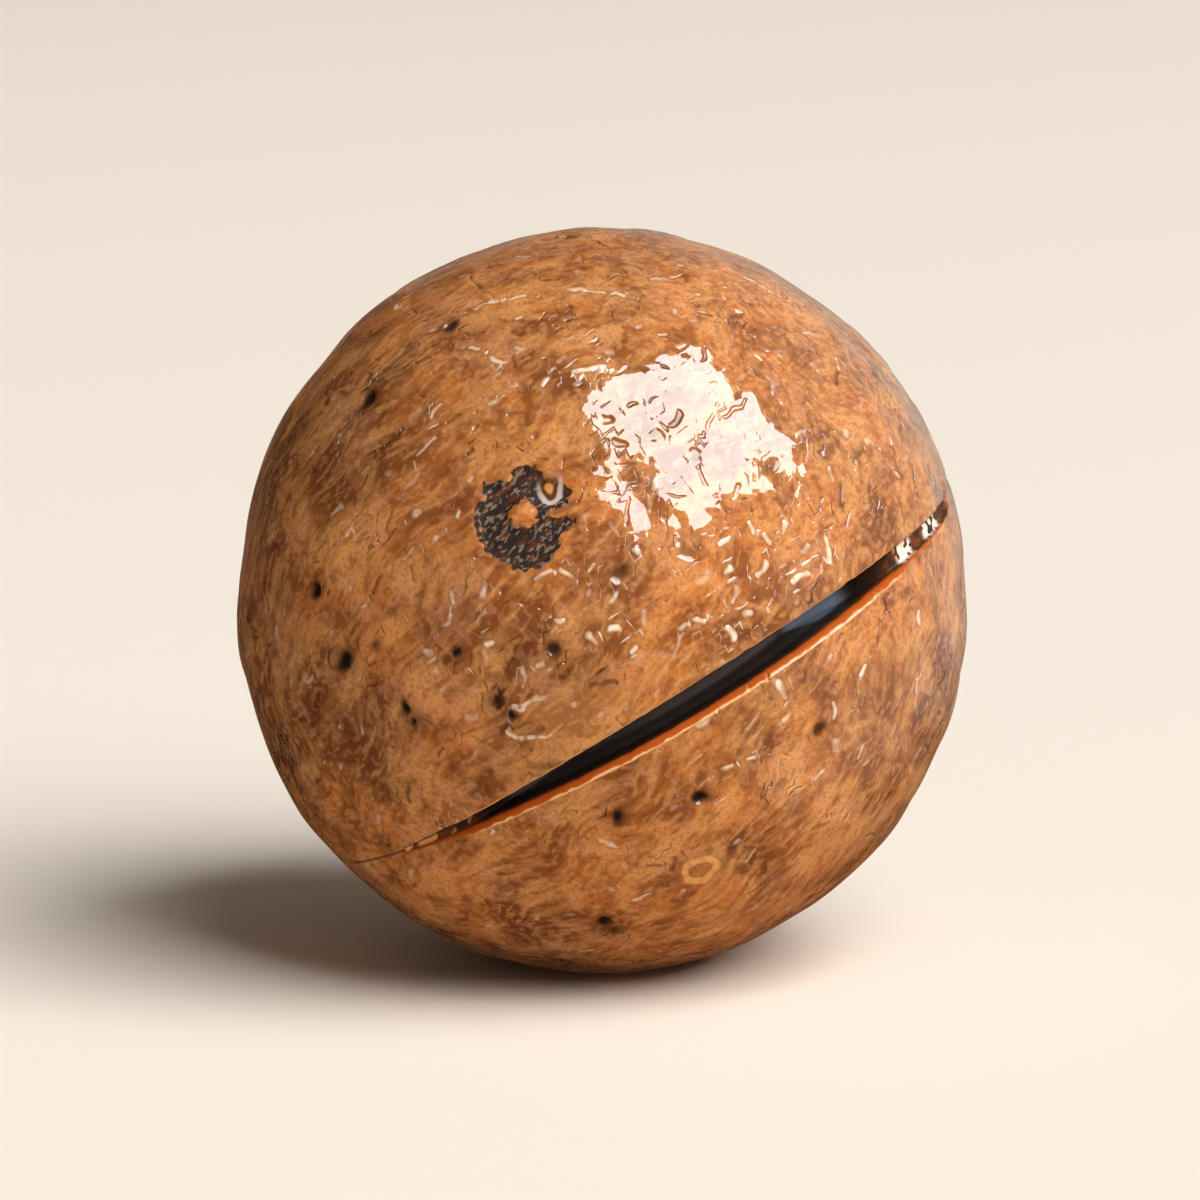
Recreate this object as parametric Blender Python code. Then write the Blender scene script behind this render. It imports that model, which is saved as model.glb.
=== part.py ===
"""A macadamia nut in its shell, sawn open along one side, lying on a small flat spot.

Metres, +Z up. The origin is the bottom centre of the nut's bounding box, and the sawn face looks along -Y.
Places on the sawn face are given as it is seen from the front: right of and above the nut's middle.
"""

from math import atan2, cos, exp, pi, radians, sin, sqrt
from random import Random

import bmesh
import bpy
from mathutils import Vector, noise

# Body
NUT_WIDTH = 0.0250
NUT_DEPTH = 0.0252
NUT_HEIGHT = 0.0254
FACE_RADIUS = 0.0126
FACE_TILT = radians(10)
SEAT_RADIUS = 0.0024
SHELL_COLOUR = (0.38, 0.165, 0.066, 1)
SHELL_ROUGHNESS = 0.32
KERF_COLOUR = (0.035, 0.018, 0.010, 1)
KERF_ROUGHNESS = 0.7

# Broad swellings and flats: place on the sphere (right, back, up), spread in radians, share of the radius
SWELLINGS = (
    ((-1.0, -0.1, 0.1), 0.55, -0.012),
    ((0.62, -0.3, 0.72), 0.50, 0.010),
    ((0.75, -0.2, -0.62), 0.60, 0.006),
    ((-0.35, -0.2, 0.92), 0.45, -0.006),
    ((0.2, 1.0, 0.1), 0.70, -0.010),
    ((-0.6, 0.7, -0.4), 0.50, 0.007),
)

# Low relief of the shell: height, and how many waves cross one radius
BROAD_RELIEF = (0.00014, 2.9)
FINE_RELIEF = (0.00006, 7.1)
RELIEF_SHIFT = Vector((3.7, 1.9, 8.3))

# Slit: a saw kerf along one plane that leans out of the line of sight, deep in its middle part, with a shallow
# groove towards its two ends; the widths there are those of the right end and of the left end
SLIT_RISE = radians(31)
SLIT_LEAN = radians(7.4)
SLIT_OFFSET = 0.00283
SLIT_MIDDLE = radians(-10)
SLIT_HALF_ANGLE = radians(63)
SLIT_WIDTH = 0.00100
SLIT_END_WIDTHS = (0.00048, 0.00020)
SLIT_DEPTH = 0.0042
SLIT_DEEPEST = 0.09
SLIT_FULL_SHARE = 0.46
SLIT_FALL_SHARE = 0.28
SLIT_GROOVE = 0.00045
SLIT_RUN_OUT = 0.0001
SLIT_OVERCUT = 0.0006
SLIT_LOWER_LIP = 0.00028
SLIT_STEPS = 40

# Dark scar: a sunken ragged ring round a small island, open on its right side
SCAR_PLACE = (-0.00250, 0.00280)
SCAR_RADIUS = 0.00162
SCAR_RAGGED = 0.35
SCAR_WAVES = 2
SCAR_ISLAND = 0.00040
SCAR_OPENING = radians(8)
SCAR_OPENING_HALF = radians(7)
SCAR_DEPTH = 0.00018
SCAR_EDGE = 0.00020

# Pits on the sawn face: right, up, radius, depth
FACE_PITS = (
    (-0.00496, 0.00900, 0.00032, 0.00016),
    (-0.00768, 0.00673, 0.00040, 0.00022),
    (-0.00939, 0.00032, 0.00036, 0.00024),
    (-0.00846, -0.00200, 0.00044, 0.00024),
    (-0.00741, -0.00153, 0.00030, 0.00014),
    (-0.00469, -0.00169, 0.00034, 0.00022),
    (-0.00505, -0.00190, 0.00024, 0.00012),
    (-0.00640, -0.00355, 0.00032, 0.00024),
    (-0.00614, -0.00400, 0.00030, 0.00022),
    (-0.00332, -0.00328, 0.00028, 0.00020),
    (-0.00290, -0.00374, 0.00026, 0.00018),
    (-0.00148, -0.00153, 0.00030, 0.00016),
    (0.00061, 0.00094, 0.00040, 0.00012),
    (0.00328, -0.00648, 0.00042, 0.00026),
    (0.00059, -0.00713, 0.00034, 0.00018),
    (0.00718, -0.00430, 0.00030, 0.00014),
    (0.00018, -0.01070, 0.00032, 0.00022),
    (0.00050, -0.01108, 0.00030, 0.00020),
)

# Pits round the rest of the shell, and low raised flakes all over it
OTHER_PITS = 22
OTHER_PIT_SIZE = (0.00026, 0.00042)
OTHER_PIT_DEPTH = 0.00020
OTHER_PIT_LIMIT = 0.25
FLAKES = 80
FLAKE_RADIUS = (0.0010, 0.0021)
FLAKE_HEIGHT = 0.00006
FLAKE_EDGE = 0.0004
SEED = 41

# Mesh density
SPHERE_LEVELS = 5
MARK_LEVELS = 2
MARK_MARGIN = 0.00025
CREASE_ANGLE = radians(40)


def from_face(right, up, out):
    """A vector given as seen from the front, in the nut's own axes."""
    back = up * sin(FACE_TILT) - out * cos(FACE_TILT)
    height = up * cos(FACE_TILT) + out * sin(FACE_TILT)
    return Vector((right, back, height))


def on_face(right, up):
    """The direction from the nut's middle to a place on the sawn face."""
    return from_face(right, up, sqrt(FACE_RADIUS**2 - right**2 - up**2)).normalized()


def slit_axes():
    """The slit plane's normal, the direction in it that faces the viewer, and the one across to the left."""
    normal = from_face(
        sin(SLIT_RISE) * cos(SLIT_LEAN), -cos(SLIT_RISE) * cos(SLIT_LEAN), -sin(SLIT_LEAN)
    )
    viewer = from_face(0, 0, 1)
    front = (viewer - viewer.dot(normal) * normal).normalized()
    return normal, front, normal.cross(front)


def smooth_step(value):
    value = min(max(value, 0.0), 1.0)
    return value * value * (3 - 2 * value)


def random_direction(draw):
    """A direction spread evenly over the sphere."""
    height = draw.uniform(-1, 1)
    turn = draw.uniform(0, 2 * pi)
    across = sqrt(1 - height * height)
    return Vector((across * cos(turn), across * sin(turn), height))


def scattered_pits(draw):
    """Pits on the back and sides, clear of the sawn face."""
    pits = []
    while len(pits) < OTHER_PITS:
        direction = random_direction(draw)
        radius = draw.uniform(*OTHER_PIT_SIZE)
        if direction.dot(from_face(0, 0, 1)) < OTHER_PIT_LIMIT:
            pits.append((direction, radius, OTHER_PIT_DEPTH))
    return pits


def scattered_flakes(draw):
    return [(random_direction(draw), draw.uniform(*FLAKE_RADIUS)) for _ in range(FLAKES)]


DRAW = Random(SEED)
PITS = [(on_face(right, up), radius, depth) for right, up, radius, depth in FACE_PITS] + scattered_pits(DRAW)
RAISED_FLAKES = scattered_flakes(DRAW)
SCAR = on_face(*SCAR_PLACE)
SCAR_UP = (from_face(0, 1, 0) - from_face(0, 1, 0).dot(SCAR) * SCAR).normalized()
SCAR_RIGHT = SCAR_UP.cross(SCAR)


def body_radius(direction):
    """The egg-round body with its broad swellings and flats."""
    x, y, z = direction
    radius = 1 / sqrt((2 * x / NUT_WIDTH) ** 2 + (2 * y / NUT_DEPTH) ** 2 + (2 * z / NUT_HEIGHT) ** 2)
    swelling = sum(
        rise * exp(-((direction.angle(Vector(place)) / spread) ** 2)) for place, spread, rise in SWELLINGS
    )
    return radius * (1 + swelling)


def distance_on_shell(direction, mark):
    return (direction - mark).length * FACE_RADIUS


def scar_share(direction):
    """How far a place lies inside the scar, from its ragged rim, its island or its open side."""
    offset = (direction - SCAR) * FACE_RADIUS
    across = offset.dot(SCAR_RIGHT)
    upward = offset.dot(SCAR_UP)
    away = offset.length
    turn = atan2(upward, across)
    wander = noise.noise(Vector((cos(turn), sin(turn), 0)) * SCAR_WAVES + RELIEF_SHIFT)
    rim = SCAR_RADIUS * (1 + SCAR_RAGGED * wander)
    from_opening = (abs(turn - SCAR_OPENING) - SCAR_OPENING_HALF) * away
    return min(rim - away, away - SCAR_ISLAND, from_opening)


def shell_relief(direction):
    """Low waves and flakes that stand out of the shell, and pits and the scar that sink into it."""
    height = sum(
        rise * noise.noise(direction * waves + RELIEF_SHIFT) for rise, waves in (BROAD_RELIEF, FINE_RELIEF)
    )
    flake = 0.0
    for place, radius in RAISED_FLAKES:
        inside = radius - distance_on_shell(direction, place)
        flake = max(flake, smooth_step(inside / FLAKE_EDGE))
    height += FLAKE_HEIGHT * flake
    for place, radius, depth in PITS:
        height -= depth * smooth_step(1 - distance_on_shell(direction, place) / radius)
    return height - SCAR_DEPTH * smooth_step(scar_share(direction) / SCAR_EDGE)


def shell_radius(direction):
    return body_radius(direction) + shell_relief(direction)


def near_a_mark(direction):
    marks = [(place, radius) for place, radius, _ in PITS] + [(SCAR, SCAR_RADIUS)]
    return any(distance_on_shell(direction, place) < radius + MARK_MARGIN for place, radius in marks)


def round_sphere():
    """A sphere of even triangles, split finer round the scar and the pits, with a corner in each pit."""
    sphere = bmesh.new()
    bmesh.ops.create_icosphere(sphere, subdivisions=SPHERE_LEVELS, radius=1)
    for _ in range(MARK_LEVELS):
        near = [
            edge
            for edge in sphere.edges
            if near_a_mark(((edge.verts[0].co + edge.verts[1].co) / 2).normalized())
        ]
        bmesh.ops.subdivide_edges(sphere, edges=near, cuts=1)
        for vertex in sphere.verts:
            vertex.co.normalize()
    for place, _, _ in PITS:
        nearest = min(sphere.verts, key=lambda vertex: (vertex.co - place).length)
        nearest.co = place
    bmesh.ops.triangulate(sphere, faces=sphere.faces[:])
    return sphere


def make_material(name, colour, roughness):
    material = bpy.data.materials.new(name)
    material.use_nodes = True
    shader = material.node_tree.nodes["Principled BSDF"]
    shader.inputs["Base Color"].default_value = colour
    shader.inputs["Roughness"].default_value = roughness
    shader.inputs["Metallic"].default_value = 0
    return material


def make_object(name, shape, material):
    mesh = bpy.data.meshes.new(name)
    shape.to_mesh(mesh)
    shape.free()
    mesh.materials.append(material)
    thing = bpy.data.objects.new(name, mesh)
    bpy.context.collection.objects.link(thing)
    return thing


def cut_seat(shape):
    """Slices off the lowest cap, which leaves the small flat spot that the nut rests on."""
    lowest = min(vertex.co.z for vertex in shape.verts)
    sagitta = SEAT_RADIUS**2 / NUT_WIDTH
    cut = bmesh.ops.bisect_plane(
        shape,
        geom=shape.verts[:] + shape.edges[:] + shape.faces[:],
        plane_co=(0, 0, lowest + sagitta),
        plane_no=(0, 0, -1),
        clear_outer=True,
    )
    rim = [edge for edge in cut["geom_cut"] if isinstance(edge, bmesh.types.BMEdge)]
    bmesh.ops.contextual_create(shape, geom=rim)
    bmesh.ops.recalc_face_normals(shape, faces=shape.faces[:])


def make_nut(material):
    """The whole shell, placed with the bottom centre of its box on the origin."""
    shape = round_sphere()
    for vertex in shape.verts:
        vertex.co *= shell_radius(vertex.co.normalized())
    cut_seat(shape)
    middle = [
        (min(vertex.co[axis] for vertex in shape.verts) + max(vertex.co[axis] for vertex in shape.verts)) / 2
        for axis in range(2)
    ]
    lowest = min(vertex.co.z for vertex in shape.verts)
    nut = make_object("nut", shape, material)
    nut.location = (-middle[0], -middle[1], -lowest)
    nut.data.shade_smooth()
    nut.data.set_sharp_from_angle(angle=CREASE_ANGLE)
    return nut


def kerf_section(share):
    """The corners of the slit's section, worn at its lower lip, at a share of its length from -1 to 1."""
    normal, front, left = slit_axes()
    turn = SLIT_MIDDLE + share * SLIT_HALF_ANGLE
    outward = front * cos(turn) + left * sin(turn)
    place = normal * SLIT_OFFSET + outward * sqrt(FACE_RADIUS**2 - SLIT_OFFSET**2)
    surface = shell_radius(place.normalized())
    rim = sqrt(surface**2 - SLIT_OFFSET**2)
    bow = sqrt(1 - share**2)
    fall = smooth_step((abs(share - SLIT_DEEPEST) - SLIT_FULL_SHARE) / SLIT_FALL_SHARE)
    groove = (SLIT_GROOVE + SLIT_RUN_OUT) * bow - SLIT_RUN_OUT
    depth = groove + (SLIT_DEPTH - SLIT_GROOVE) * (1 - fall)
    lip = min(SLIT_LOWER_LIP, depth / 2, 2 * depth)
    right_end, left_end = SLIT_END_WIDTHS
    end_width = right_end + (left_end - right_end) * (1 + share) / 2
    half = (end_width + (SLIT_WIDTH - end_width) * bow**4) / 2
    return [
        normal * (SLIT_OFFSET + across) + outward * (rim + rise)
        for across, rise in (
            (-half, -depth),
            (half, -depth),
            (half, -lip),
            (half + lip + SLIT_OVERCUT, SLIT_OVERCUT),
            (-half, SLIT_OVERCUT),
        )
    ]


def make_kerf(material):
    """The cutter for the slit: a bar bent round the nut, narrower and shallower towards its ends."""
    bar = bmesh.new()
    sections = [
        [bar.verts.new(corner) for corner in kerf_section(2 * step / SLIT_STEPS - 1)]
        for step in range(SLIT_STEPS + 1)
    ]
    for first, second in zip(sections, sections[1:]):
        for corner in range(len(first)):
            after = (corner + 1) % len(first)
            bar.faces.new((first[corner], first[after], second[after], second[corner]))
    bar.faces.new(sections[0])
    bar.faces.new(sections[-1])
    bmesh.ops.triangulate(bar, faces=bar.faces[:])
    bmesh.ops.recalc_face_normals(bar, faces=bar.faces[:])
    kerf = make_object("kerf_cutter", bar, material)
    kerf.hide_render = True
    kerf.display_type = "WIRE"
    return kerf


def main():
    for thing in list(bpy.data.objects):
        bpy.data.objects.remove(thing, do_unlink=True)
    nut = make_nut(make_material("nut_shell", SHELL_COLOUR, SHELL_ROUGHNESS))
    kerf = make_kerf(make_material("kerf_wall", KERF_COLOUR, KERF_ROUGHNESS))
    kerf.parent = nut
    slit = nut.modifiers.new("slit", "BOOLEAN")
    slit.operation = "DIFFERENCE"
    slit.solver = "EXACT"
    slit.material_mode = "TRANSFER"
    slit.object = kerf


main()
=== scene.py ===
"""Looks of a macadamia nut in its shell: the fine surface, its material, the floor, the light and the camera.

Metres, +Z up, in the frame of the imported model. Places on the sawn face are given as it is seen from the
front: right of and above the nut's middle. Materials work in millimetres.
"""

from math import cos, pi, radians, sin, sqrt
from random import Random

import bpy
import numpy as np
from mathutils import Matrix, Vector, noise


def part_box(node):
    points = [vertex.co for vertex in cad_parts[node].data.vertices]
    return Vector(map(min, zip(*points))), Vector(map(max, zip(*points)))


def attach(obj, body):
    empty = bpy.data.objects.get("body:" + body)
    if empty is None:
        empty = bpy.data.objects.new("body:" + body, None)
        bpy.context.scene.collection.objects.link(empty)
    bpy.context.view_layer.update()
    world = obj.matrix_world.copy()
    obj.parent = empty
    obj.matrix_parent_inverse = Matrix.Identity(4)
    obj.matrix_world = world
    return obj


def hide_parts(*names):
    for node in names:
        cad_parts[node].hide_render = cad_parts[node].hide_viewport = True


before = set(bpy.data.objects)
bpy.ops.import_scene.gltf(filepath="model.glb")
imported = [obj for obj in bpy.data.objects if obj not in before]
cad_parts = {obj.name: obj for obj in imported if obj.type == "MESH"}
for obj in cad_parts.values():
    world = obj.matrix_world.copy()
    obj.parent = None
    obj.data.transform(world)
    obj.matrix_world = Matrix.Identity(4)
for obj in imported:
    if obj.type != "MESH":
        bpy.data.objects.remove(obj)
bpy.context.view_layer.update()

# Body, as the part's source has it
NUT_WIDTH = 0.0250
NUT_DEPTH = 0.0252
NUT_HEIGHT = 0.0254
FACE_RADIUS = 0.0126
FACE_TILT = radians(10)
SEAT_RADIUS = 0.0024
SWELLINGS = (
    ((-1.0, -0.1, 0.1), 0.55, -0.012),
    ((0.62, -0.3, 0.72), 0.50, 0.010),
    ((0.75, -0.2, -0.62), 0.60, 0.006),
    ((-0.35, -0.2, 0.92), 0.45, -0.006),
    ((0.2, 1.0, 0.1), 0.70, -0.010),
    ((-0.6, 0.7, -0.4), 0.50, 0.007),
)
BROAD_RELIEF = (0.00014, 2.9)
FINE_RELIEF = (0.00006, 7.1)
RELIEF_SHIFT = Vector((3.7, 1.9, 8.3))

# Slit, as the part's source has it
SLIT_RISE = radians(31)
SLIT_LEAN = radians(7.4)
SLIT_OFFSET = 0.00283
SLIT_MIDDLE = radians(-10)
SLIT_HALF_ANGLE = radians(63)
SLIT_WIDTH = 0.00100
SLIT_END_WIDTHS = (0.00048, 0.00020)
SLIT_DEPTH = 0.0042
SLIT_DEEPEST = 0.09
SLIT_FULL_SHARE = 0.46
SLIT_FALL_SHARE = 0.28
SLIT_GROOVE = 0.00045
SLIT_LOWER_LIP = 0.00028

# Lips of the slit: the upper one's radius, the most that each takes of the slit's depth, the skin kept beside
# them, how far they stray with how many waves in a radian, and how far the lower one bulges
LIP_RADIUS = 0.00010
UPPER_LIP_SHARE = 0.4
LOWER_LIP_SHARE = 0.5
LIP_STEPS = 4
LIP_MARGIN = 0.00008
LIP_RAGGED = 0.00003
LIP_WAVES = 30
LIP_SHIFT = 5
LIP_BULGE = 0.12

# Walls and ends of the slit: rows down a wall, the floor's rounding as a share of the half width, the share
# of the bow over which an end opens, and the band of rows that widens behind the nut
WALL_SHARES = (0.06, 0.14, 0.25, 0.38, 0.52, 0.68, 0.84, 1)
FLOOR_ROUNDING = 0.3
END_BOW = 0.20
BACK_BAND = 0.0015
BACK_REACH = 0.6
SIDE_LIMIT = 4.0

# Scar, pits and flakes, as the part's source has them
SCAR_PLACE = (-0.00250, 0.00280)
SCAR_RADIUS = 0.00162
SCAR_RAGGED = 0.35
SCAR_WAVES = 2
SCAR_ISLAND = 0.00040
SCAR_OPENING = radians(8)
SCAR_OPENING_HALF = radians(7)
SCAR_DEPTH = 0.00018
SCAR_EDGE = 0.00020
FACE_PITS = (
    (-0.00496, 0.00900, 0.00032, 0.00016),
    (-0.00768, 0.00673, 0.00040, 0.00022),
    (-0.00939, 0.00032, 0.00036, 0.00024),
    (-0.00846, -0.00200, 0.00044, 0.00024),
    (-0.00741, -0.00153, 0.00030, 0.00014),
    (-0.00469, -0.00169, 0.00034, 0.00022),
    (-0.00505, -0.00190, 0.00024, 0.00012),
    (-0.00640, -0.00355, 0.00032, 0.00024),
    (-0.00614, -0.00400, 0.00030, 0.00022),
    (-0.00332, -0.00328, 0.00028, 0.00020),
    (-0.00290, -0.00374, 0.00026, 0.00018),
    (-0.00148, -0.00153, 0.00030, 0.00016),
    (0.00061, 0.00094, 0.00040, 0.00012),
    (0.00328, -0.00648, 0.00042, 0.00026),
    (0.00059, -0.00713, 0.00034, 0.00018),
    (0.00718, -0.00430, 0.00030, 0.00014),
    (0.00018, -0.01070, 0.00032, 0.00022),
    (0.00050, -0.01108, 0.00030, 0.00020),
)
OTHER_PITS = 22
OTHER_PIT_SIZE = (0.00026, 0.00042)
OTHER_PIT_DEPTH = 0.00020
OTHER_PIT_LIMIT = 0.25
FLAKES = 80
FLAKE_RADIUS = (0.0010, 0.0021)
FLAKE_HEIGHT = 0.00006
FLAKE_EDGE = 0.0004
SEED = 41

# Bridge of the scar's dark stain over its open side: how far from the scar's middle, and half its width
SCAR_BRIDGE = (0.00070, 0.00024)

# Mesh of the shell: columns round the slit plane's normal, rows across the slit from pole to pole
COLUMNS = 360
COLUMN_LEAN = 0.25
SKIN_ROWS = 100
SKIN_ROUNDS = 3
SKIN_INSET = 0.00003

# Pale specks on the sawn face, partly pale flecks and partly painted glints: right, up, half length, rise from
# the level and how pale
FACE_SPECKS = (
    (-0.00379, 0.00977, 0.00034, radians(14), 0.85),
    (-0.00273, 0.01004, 0.00026, radians(28), 0.70),
    (-0.00079, 0.01027, 0.00018, radians(5), 0.70),
    (-0.00010, 0.01016, 0.00024, radians(-12), 0.80),
    (0.00062, 0.01004, 0.00014, radians(-50), 0.70),
    (0.00189, 0.01055, 0.00020, radians(-20), 0.85),
    (-0.00411, 0.00829, 0.00016, radians(-28), 1.00),
    (-0.00337, 0.00783, 0.00018, radians(-40), 0.75),
    (-0.00263, 0.00930, 0.00008, radians(30), 0.70),
    (-0.00540, 0.00617, 0.00018, radians(72), 0.80),
    (-0.00568, 0.00506, 0.00044, radians(46), 0.60),
    (-0.00034, 0.00746, 0.00050, radians(9), 1.00),
    (-0.00176, 0.00708, 0.00014, radians(60), 0.80),
    (-0.00300, 0.00688, 0.00028, radians(16), 0.55),
    (0.00073, 0.00109, 0.00016, radians(-60), 0.85),
    (0.00117, 0.00158, 0.00010, radians(-60), 0.80),
    (-0.00112, 0.00088, 0.00014, radians(-35), 0.85),
    (-0.00536, 0.00192, 0.00010, radians(60), 0.75),
    (-0.00476, 0.00007, 0.00012, radians(80), 0.55),
    (-0.00374, 0.00035, 0.00024, radians(-84), 0.60),
    (-0.00134, -0.00071, 0.00007, radians(0), 0.80),
    (-0.00360, -0.00145, 0.00009, radians(30), 0.85),
    (0.00041, -0.00099, 0.00012, radians(10), 0.95),
    (-0.00028, -0.00131, 0.00012, radians(-50), 0.70),
    (0.00110, -0.00159, 0.00010, radians(40), 0.75),
    (0.00037, 0.00007, 0.00018, radians(58), 0.70),
    (0.00420, 0.00095, 0.00014, radians(40), 0.95),
    (0.00521, 0.00098, 0.00018, radians(56), 0.95),
    (0.00650, 0.00072, 0.00030, radians(26), 1.00),
    (0.00745, 0.00160, 0.00042, radians(-76), 1.00),
    (0.00489, 0.00238, 0.00014, radians(-60), 0.85),
    (0.00545, 0.00200, 0.00014, radians(-40), 0.75),
    (0.00595, 0.00240, 0.00016, radians(78), 0.80),
    (0.00258, -0.00086, 0.00020, radians(30), 0.75),
    (0.00318, -0.00072, 0.00024, radians(-12), 0.80),
    (0.00422, -0.00108, 0.00018, radians(-56), 0.95),
    (0.00594, -0.00291, 0.00024, radians(-54), 0.95),
    (0.01060, -0.00062, 0.00016, radians(-70), 0.85),
    (0.00871, -0.00229, 0.00016, radians(60), 1.00),
    (0.00765, -0.00362, 0.00020, radians(-62), 0.75),
    (0.00497, -0.00515, 0.00012, radians(-10), 0.80),
    (0.00409, -0.00552, 0.00012, radians(20), 0.70),
    (0.00723, -0.00575, 0.00009, radians(0), 0.65),
    (0.00866, -0.00501, 0.00020, radians(42), 0.70),
    (0.00022, -0.00801, 0.00026, radians(-22), 0.55),
    (0.00133, -0.00981, 0.00030, radians(42), 0.55),
    (0.00446, -0.00796, 0.00016, radians(44), 0.60),
)
SPECK_RADIUS = (0.00007, 0.00013)

# Marks that lie along the grain: how many, half length, radius, tone, which is pale above 0 and dark below,
# and how far they turn from the grain
GRAIN = (0.64, 0.70, 0.30)
CREASES = (300, (0.00022, 0.00066), (0.00006, 0.00011), (-0.08, -0.18), radians(60))
SMUDGES = (120, (0.00006, 0.00026), (0.00012, 0.00026), (-0.20, -0.50), radians(30))
# Pale fibres are partly pale flecks and partly painted glints on small raised bumps
PALE_FIBRES_AND_GLINTS = (560, (0.00004, 0.00026), (0.00007, 0.00014), (0.16, 0.80), radians(30))
DARK_STROKES = (460, (0.00010, 0.00040), (0.00005, 0.00011), (-0.30, -0.70), radians(34))
MARK_SPACING = 0.00062
MARK_REACH = 0.00032
LENGTH_POWER = 1.6
TONE_POWER = 1.8
LONELY_TONE = 0.6

# Share of the marks that stay, and the sides on which more do, above the slit and most of all beside its
# middle: the way there, the cosine where the crowd starts, how much higher it is in the full crowd, and the
# share added
SPARSE_SHARE = 0.25
CROWDED_SIDES = (
    ((-0.25, 0.62, 0.74), -0.1, 0.9, 0.45),
    ((0.30, -0.02, 0.95), 0.86, 0.10, 0.22),
)

# Dark middles of the pits: share of the pit's radius, the depth at which they turn black, how far they turn
# from the grain, and their half length as a share of the radius
PIT_DARK_SHARE = 0.90
PIT_BLACK_DEPTH = 0.00018
PIT_TURN = 0.6
PIT_STRETCH = (0.1, 0.6)

MM = 1000


def from_face(right, up, out):
    """A vector given as seen from the front, in the nut's own axes."""
    back = up * sin(FACE_TILT) - out * cos(FACE_TILT)
    height = up * cos(FACE_TILT) + out * sin(FACE_TILT)
    return Vector((right, back, height))


def on_face(right, up):
    """The direction from the nut's middle to a place on the sawn face."""
    return from_face(right, up, sqrt(FACE_RADIUS**2 - right**2 - up**2)).normalized()


def slit_axes():
    """The slit plane's normal, the direction in it that faces the viewer, and the one across to the left."""
    normal = from_face(
        sin(SLIT_RISE) * cos(SLIT_LEAN), -cos(SLIT_RISE) * cos(SLIT_LEAN), -sin(SLIT_LEAN)
    )
    viewer = from_face(0, 0, 1)
    front = (viewer - viewer.dot(normal) * normal).normalized()
    return normal, front, normal.cross(front)


def smooth_step(value):
    value = np.clip(value, 0.0, 1.0)
    return value * value * (3 - 2 * value)


def between(ends, share):
    start, end = ends
    return start + (end - start) * share


def random_direction(draw):
    """A direction spread evenly over the sphere."""
    height = draw.uniform(-1, 1)
    turn = draw.uniform(0, 2 * pi)
    across = sqrt(1 - height * height)
    return Vector((across * cos(turn), across * sin(turn), height))


def scattered_pits(draw):
    """Pits on the back and sides, clear of the sawn face."""
    pits = []
    while len(pits) < OTHER_PITS:
        direction = random_direction(draw)
        radius = draw.uniform(*OTHER_PIT_SIZE)
        if direction.dot(from_face(0, 0, 1)) < OTHER_PIT_LIMIT:
            pits.append((direction, radius, OTHER_PIT_DEPTH))
    return pits


def scattered_flakes(draw):
    return [(random_direction(draw), draw.uniform(*FLAKE_RADIUS)) for _ in range(FLAKES)]


DRAW = Random(SEED)
PITS = [(on_face(right, up), radius, depth) for right, up, radius, depth in FACE_PITS] + scattered_pits(DRAW)
RAISED_FLAKES = scattered_flakes(DRAW)
SCAR = on_face(*SCAR_PLACE)
SCAR_UP = (from_face(0, 1, 0) - from_face(0, 1, 0).dot(SCAR) * SCAR).normalized()
SCAR_RIGHT = SCAR_UP.cross(SCAR)


def unit(vectors):
    return vectors / np.linalg.norm(vectors, axis=-1, keepdims=True)


def waves(directions, count):
    """Smooth noise over the sphere, from -1 to 1."""
    values = [noise.noise(Vector(place) * count + RELIEF_SHIFT) for place in directions.reshape(-1, 3)]
    return np.array(values).reshape(directions.shape[:-1])


def body_radius(directions):
    """The egg-round body with its broad swellings and flats."""
    halves = np.array((NUT_WIDTH, NUT_DEPTH, NUT_HEIGHT)) / 2
    radius = 1 / np.sqrt(((directions / halves) ** 2).sum(axis=-1))
    swelling = np.zeros_like(radius)
    for place, spread, rise in SWELLINGS:
        angle = np.arccos(np.clip(directions @ np.array(Vector(place).normalized()), -1, 1))
        swelling += rise * np.exp(-((angle / spread) ** 2))
    return radius * (1 + swelling)


def distance_on_shell(directions, mark):
    return np.linalg.norm(directions - np.array(mark), axis=-1) * FACE_RADIUS


def scar_share(directions):
    """How far a place lies inside the scar, from its ragged rim, its island or its open side."""
    offset = (directions - np.array(SCAR)) * FACE_RADIUS
    away = np.linalg.norm(offset, axis=-1)
    turn = np.arctan2(offset @ np.array(SCAR_UP), offset @ np.array(SCAR_RIGHT))
    ring = np.stack([np.cos(turn), np.sin(turn), np.zeros_like(turn)], axis=-1)
    rim = SCAR_RADIUS * (1 + SCAR_RAGGED * waves(ring, SCAR_WAVES))
    from_opening = (np.abs(turn - SCAR_OPENING) - SCAR_OPENING_HALF) * away
    return np.minimum(np.minimum(rim - away, away - SCAR_ISLAND), from_opening)


def scar_stain(directions):
    """How far a place lies inside the scar's dark stain, which closes the open side with a narrow bridge."""
    radius, half = SCAR_BRIDGE
    bridge = half - np.abs(distance_on_shell(directions, SCAR) - radius)
    return np.maximum(scar_share(directions), bridge)


def shell_relief(directions):
    """Low waves and flakes that stand out of the shell, and pits and the scar that sink into it."""
    height = sum(rise * waves(directions, count) for rise, count in (BROAD_RELIEF, FINE_RELIEF))
    flake = np.zeros_like(height)
    for place, radius in RAISED_FLAKES:
        inside = radius - distance_on_shell(directions, place)
        flake = np.maximum(flake, smooth_step(inside / FLAKE_EDGE))
    height += FLAKE_HEIGHT * flake
    for place, radius, depth in PITS:
        height -= depth * smooth_step(1 - distance_on_shell(directions, place) / radius)
    return height - SCAR_DEPTH * smooth_step(scar_share(directions) / SCAR_EDGE)


def shell_radius(directions):
    return body_radius(directions) + shell_relief(directions) - SKIN_INSET


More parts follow.
